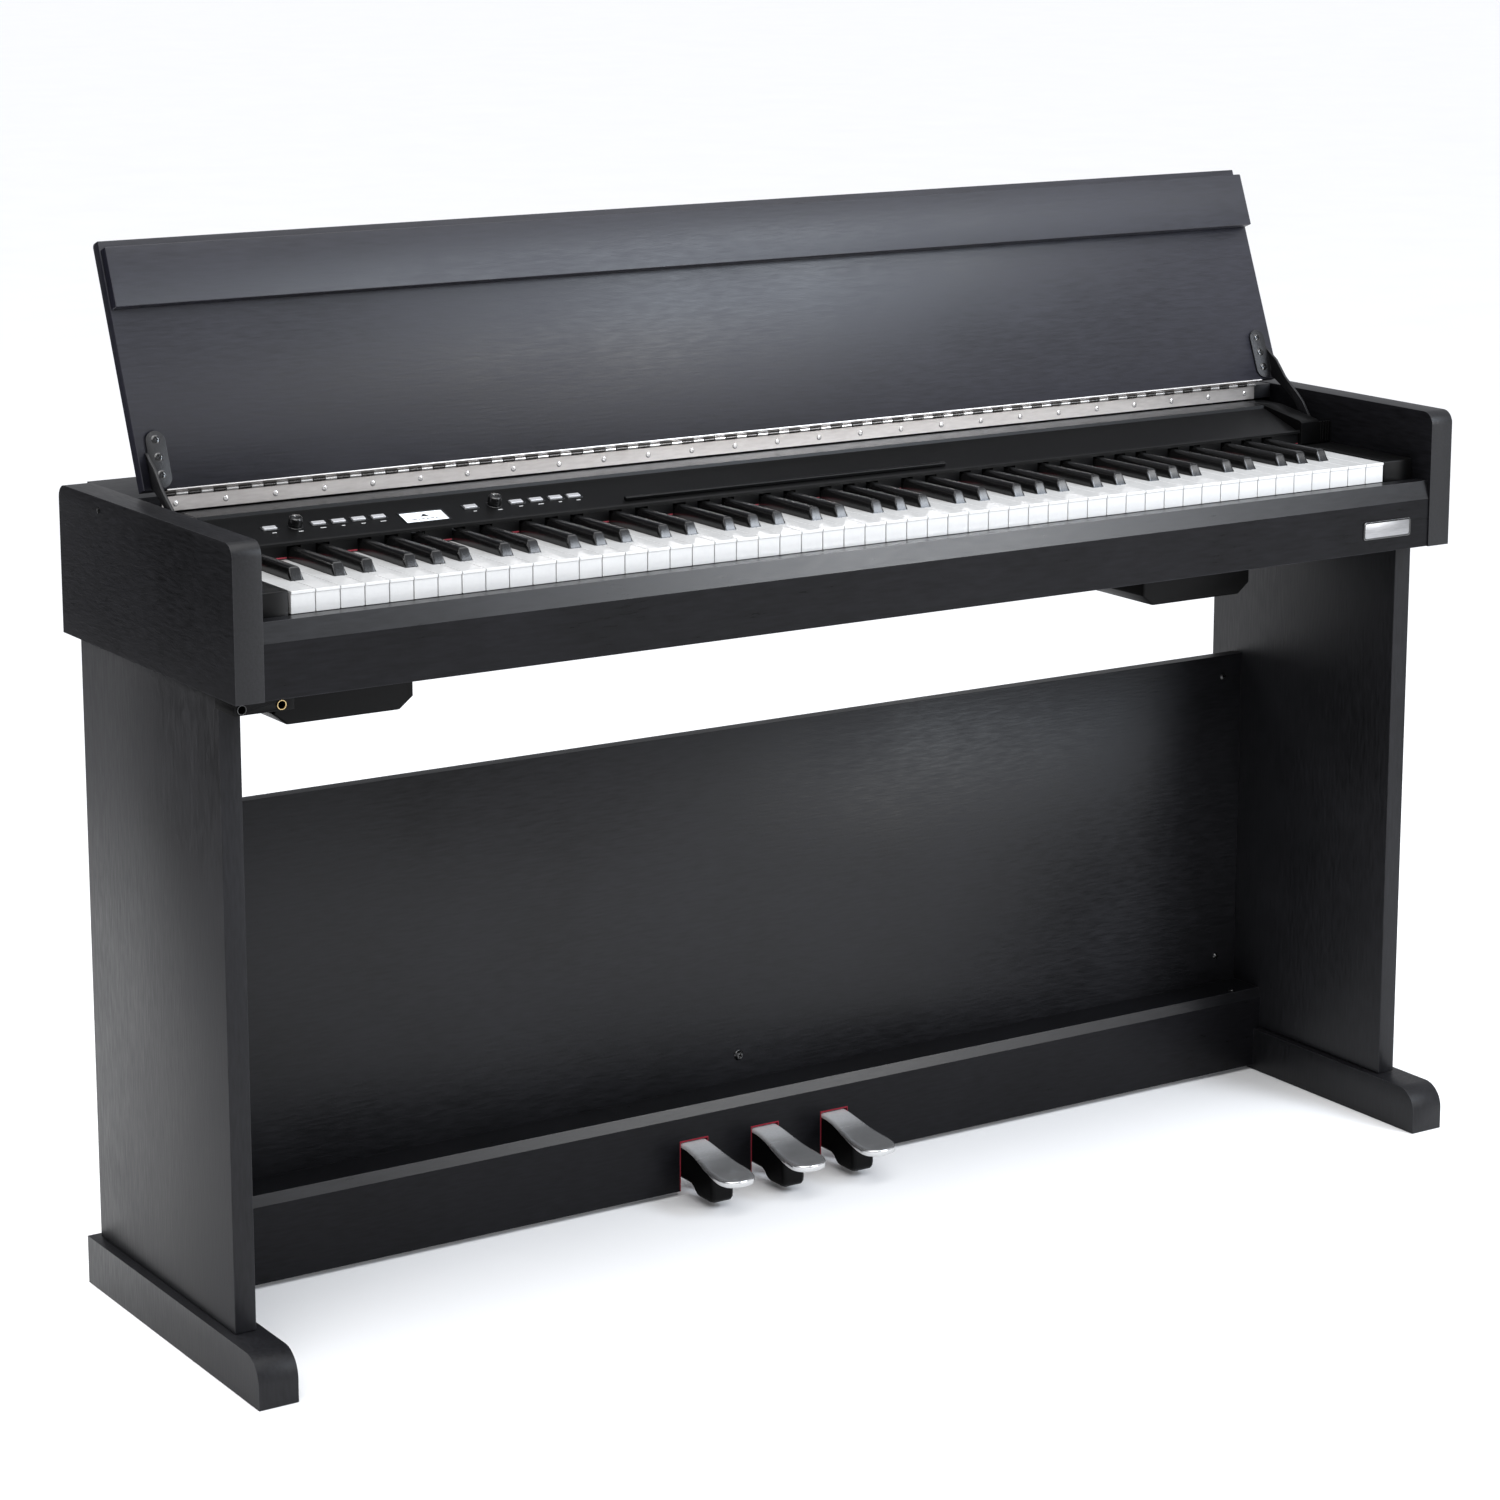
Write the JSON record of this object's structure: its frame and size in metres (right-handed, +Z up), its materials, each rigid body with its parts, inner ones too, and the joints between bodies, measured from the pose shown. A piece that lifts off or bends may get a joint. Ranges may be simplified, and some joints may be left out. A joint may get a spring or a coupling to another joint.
{
  "type": "digital piano on stand",
  "caption": "Full-size digital piano on a panelled stand: weighted keys, hinged lid with folding front flap and curved stays, control panel, speakers and pedals.",
  "frame": {"origin": "on the floor under the centre of the overall box", "axes": "+X along the keyboard to the player's right, +Y to the rear, +Z up"},
  "size_m": [1.364, 0.375, 0.9765],
  "materials": {
    "laminate": "vinyl-laminated board, semi-matt charcoal black with a faint grain",
    "moulding": "moulded black plastic",
    "key_white": "glossy white",
    "key_black": "satin black",
    "felt": "crimson felt",
    "nickel": "satin nickel",
    "chrome": "polished",
    "black_steel": "satin black paint",
    "chassis_steel": "plain zinc-coated sheet",
    "button_caps": "silver-grey satin",
    "display": "lit display behind a clear window",
    "circuit": "green circuit board"
  },
  "bodies": {
    "cabinet": {"left_side_panel": "laminate", "right_side_panel": "laminate", "top_board": "laminate", "rear_board": "laminate", "keybed_board": "laminate", "key_slip": "laminate", "left_stand_panel": "laminate", "right_stand_panel": "laminate", "left_foot": "laminate", "right_foot": "laminate", "back_panel": "laminate", "pedal_beam": "laminate", "left_key_block": "moulding", "right_key_block": "moulding", "left_end_cap": "moulding", "right_end_cap": "moulding", "control_panel": "moulding", "music_ledge": "moulding", "headphone_box": "moulding", "rear_jack_plate": "moulding", "left_speaker_box": "moulding", "right_speaker_box": "moulding", "display_window": "display", "felt_strip": "felt", "badge_plate": "nickel", "hinge_body_leaf": "nickel", "left_speaker_driver": "black_steel", "right_speaker_driver": "black_steel", "key_chassis": "chassis_steel", "circuit_board": "circuit"},
    "lid": {"lid_panel": "laminate", "hinge_lid_leaf": "nickel", "hinge_pin": "nickel", "left_lid_stay": "black_steel", "right_lid_stay": "black_steel"},
    "flap": {"lid_flap": "laminate"},
    "left_pedal": {"left_pedal_boot": "moulding", "left_pedal_plate": "chrome"},
    "centre_pedal": {"centre_pedal_boot": "moulding", "centre_pedal_plate": "chrome"},
    "right_pedal": {"right_pedal_boot": "moulding", "right_pedal_plate": "chrome"},
    "button_01_cap": {"button_01": "button_caps"},
    "button_02_cap": {"button_02": "button_caps"},
    "button_03_cap": {"button_03": "button_caps"},
    "button_04_cap": {"button_04": "button_caps"},
    "button_05_cap": {"button_05": "button_caps"},
    "button_06_cap": {"button_06": "button_caps"},
    "button_07_cap": {"button_07": "button_caps"},
    "button_08_cap": {"button_08": "button_caps"},
    "button_09_cap": {"button_09": "button_caps"},
    "button_10_cap": {"button_10": "button_caps"},
    "volume": {"volume_knob": "moulding"},
    "data": {"data_knob": "moulding"},
    "low_white_keys": {"naturals_low": "key_white"},
    "low_black_keys": {"sharps_low": "key_black"},
    "middle_white_keys": {"naturals_middle": "key_white"},
    "middle_black_keys": {"sharps_middle": "key_black"},
    "high_white_keys": {"naturals_high": "key_white"},
    "high_black_keys": {"sharps_high": "key_black"}
  },
  "joints": [
    {"name": "lid_hinge", "type": "hinge", "parent": "cabinet", "child": "lid", "pos_m": [0, 0.0757, 0.757], "axis": [1, 0, 0], "range_deg": [0, 111.5]},
    {"name": "flap_hinge", "type": "hinge", "parent": "lid", "child": "flap", "pos_m": [0, 0.14441, 0.96908], "axis": [-1, 0, 0], "range_deg": [0, 90]},
    {"name": "left_pedal_hinge", "type": "hinge", "parent": "cabinet", "child": "left_pedal", "pos_m": [-0.079, 0.1005, 0.045], "axis": [1, 0, 0], "range_deg": [0, 3.6], "stiffness_Nm_per_rad": 10, "springref_deg": -5.73},
    {"name": "centre_pedal_hinge", "type": "hinge", "parent": "cabinet", "child": "centre_pedal", "pos_m": [0.005, 0.1005, 0.045], "axis": [1, 0, 0], "range_deg": [0, 3.6], "stiffness_Nm_per_rad": 10, "springref_deg": -5.73},
    {"name": "right_pedal_hinge", "type": "hinge", "parent": "cabinet", "child": "right_pedal", "pos_m": [0.089, 0.1005, 0.045], "axis": [1, 0, 0], "range_deg": [0, 3.6], "stiffness_Nm_per_rad": 10, "springref_deg": -5.73},
    {"name": "button_01_press", "type": "slide", "parent": "cabinet", "child": "button_01_cap", "axis": [0, 0.3024, -0.9532], "range_m": [0, 0.0012], "stiffness_N_per_m": 300, "springref_m": -0.002},
    {"name": "button_02_press", "type": "slide", "parent": "cabinet", "child": "button_02_cap", "axis": [0, 0.3024, -0.9532], "range_m": [0, 0.0012], "stiffness_N_per_m": 300, "springref_m": -0.002},
    {"name": "button_03_press", "type": "slide", "parent": "cabinet", "child": "button_03_cap", "axis": [0, 0.3024, -0.9532], "range_m": [0, 0.0012], "stiffness_N_per_m": 300, "springref_m": -0.002},
    {"name": "button_04_press", "type": "slide", "parent": "cabinet", "child": "button_04_cap", "axis": [0, 0.3024, -0.9532], "range_m": [0, 0.0012], "stiffness_N_per_m": 300, "springref_m": -0.002},
    {"name": "button_05_press", "type": "slide", "parent": "cabinet", "child": "button_05_cap", "axis": [0, 0.3024, -0.9532], "range_m": [0, 0.0012], "stiffness_N_per_m": 300, "springref_m": -0.002},
    {"name": "button_06_press", "type": "slide", "parent": "cabinet", "child": "button_06_cap", "axis": [0, 0.3024, -0.9532], "range_m": [0, 0.0012], "stiffness_N_per_m": 300, "springref_m": -0.002},
    {"name": "button_07_press", "type": "slide", "parent": "cabinet", "child": "button_07_cap", "axis": [0, 0.3024, -0.9532], "range_m": [0, 0.0012], "stiffness_N_per_m": 300, "springref_m": -0.002},
    {"name": "button_08_press", "type": "slide", "parent": "cabinet", "child": "button_08_cap", "axis": [0, 0.3024, -0.9532], "range_m": [0, 0.0012], "stiffness_N_per_m": 300, "springref_m": -0.002},
    {"name": "button_09_press", "type": "slide", "parent": "cabinet", "child": "button_09_cap", "axis": [0, 0.3024, -0.9532], "range_m": [0, 0.0012], "stiffness_N_per_m": 300, "springref_m": -0.002},
    {"name": "button_10_press", "type": "slide", "parent": "cabinet", "child": "button_10_cap", "axis": [0, 0.3024, -0.9532], "range_m": [0, 0.0012], "stiffness_N_per_m": 300, "springref_m": -0.002},
    {"name": "volume_turn", "type": "hinge", "parent": "cabinet", "child": "volume", "pos_m": [-0.529, 0.01423, 0.72867], "axis": [0, -0.3024, 0.9532], "range_deg": [-140, 140]},
    {"name": "data_turn", "type": "hinge", "parent": "cabinet", "child": "data", "pos_m": [-0.327, 0.01423, 0.72867], "axis": [0, -0.3024, 0.9532], "continuous": true},
    {"name": "low_white_keys_hinge", "type": "hinge", "parent": "cabinet", "child": "low_white_keys", "pos_m": [0, 0.0785, 0.69], "axis": [1, 0, 0], "range_deg": [0, 2.5], "stiffness_Nm_per_rad": 20, "springref_deg": -8.59},
    {"name": "low_black_keys_hinge", "type": "hinge", "parent": "cabinet", "child": "low_black_keys", "pos_m": [0, 0.0785, 0.69], "axis": [1, 0, 0], "range_deg": [0, 2.5], "stiffness_Nm_per_rad": 20, "springref_deg": -8.59},
    {"name": "middle_white_keys_hinge", "type": "hinge", "parent": "cabinet", "child": "middle_white_keys", "pos_m": [0, 0.0785, 0.69], "axis": [1, 0, 0], "range_deg": [0, 2.5], "stiffness_Nm_per_rad": 20, "springref_deg": -8.59},
    {"name": "middle_black_keys_hinge", "type": "hinge", "parent": "cabinet", "child": "middle_black_keys", "pos_m": [0, 0.0785, 0.69], "axis": [1, 0, 0], "range_deg": [0, 2.5], "stiffness_Nm_per_rad": 20, "springref_deg": -8.59},
    {"name": "high_white_keys_hinge", "type": "hinge", "parent": "cabinet", "child": "high_white_keys", "pos_m": [0, 0.0785, 0.69], "axis": [1, 0, 0], "range_deg": [0, 2.5], "stiffness_Nm_per_rad": 20, "springref_deg": -8.59},
    {"name": "high_black_keys_hinge", "type": "hinge", "parent": "cabinet", "child": "high_black_keys", "pos_m": [0, 0.0785, 0.69], "axis": [1, 0, 0], "range_deg": [0, 2.5], "stiffness_Nm_per_rad": 20, "springref_deg": -8.59}
  ]
}
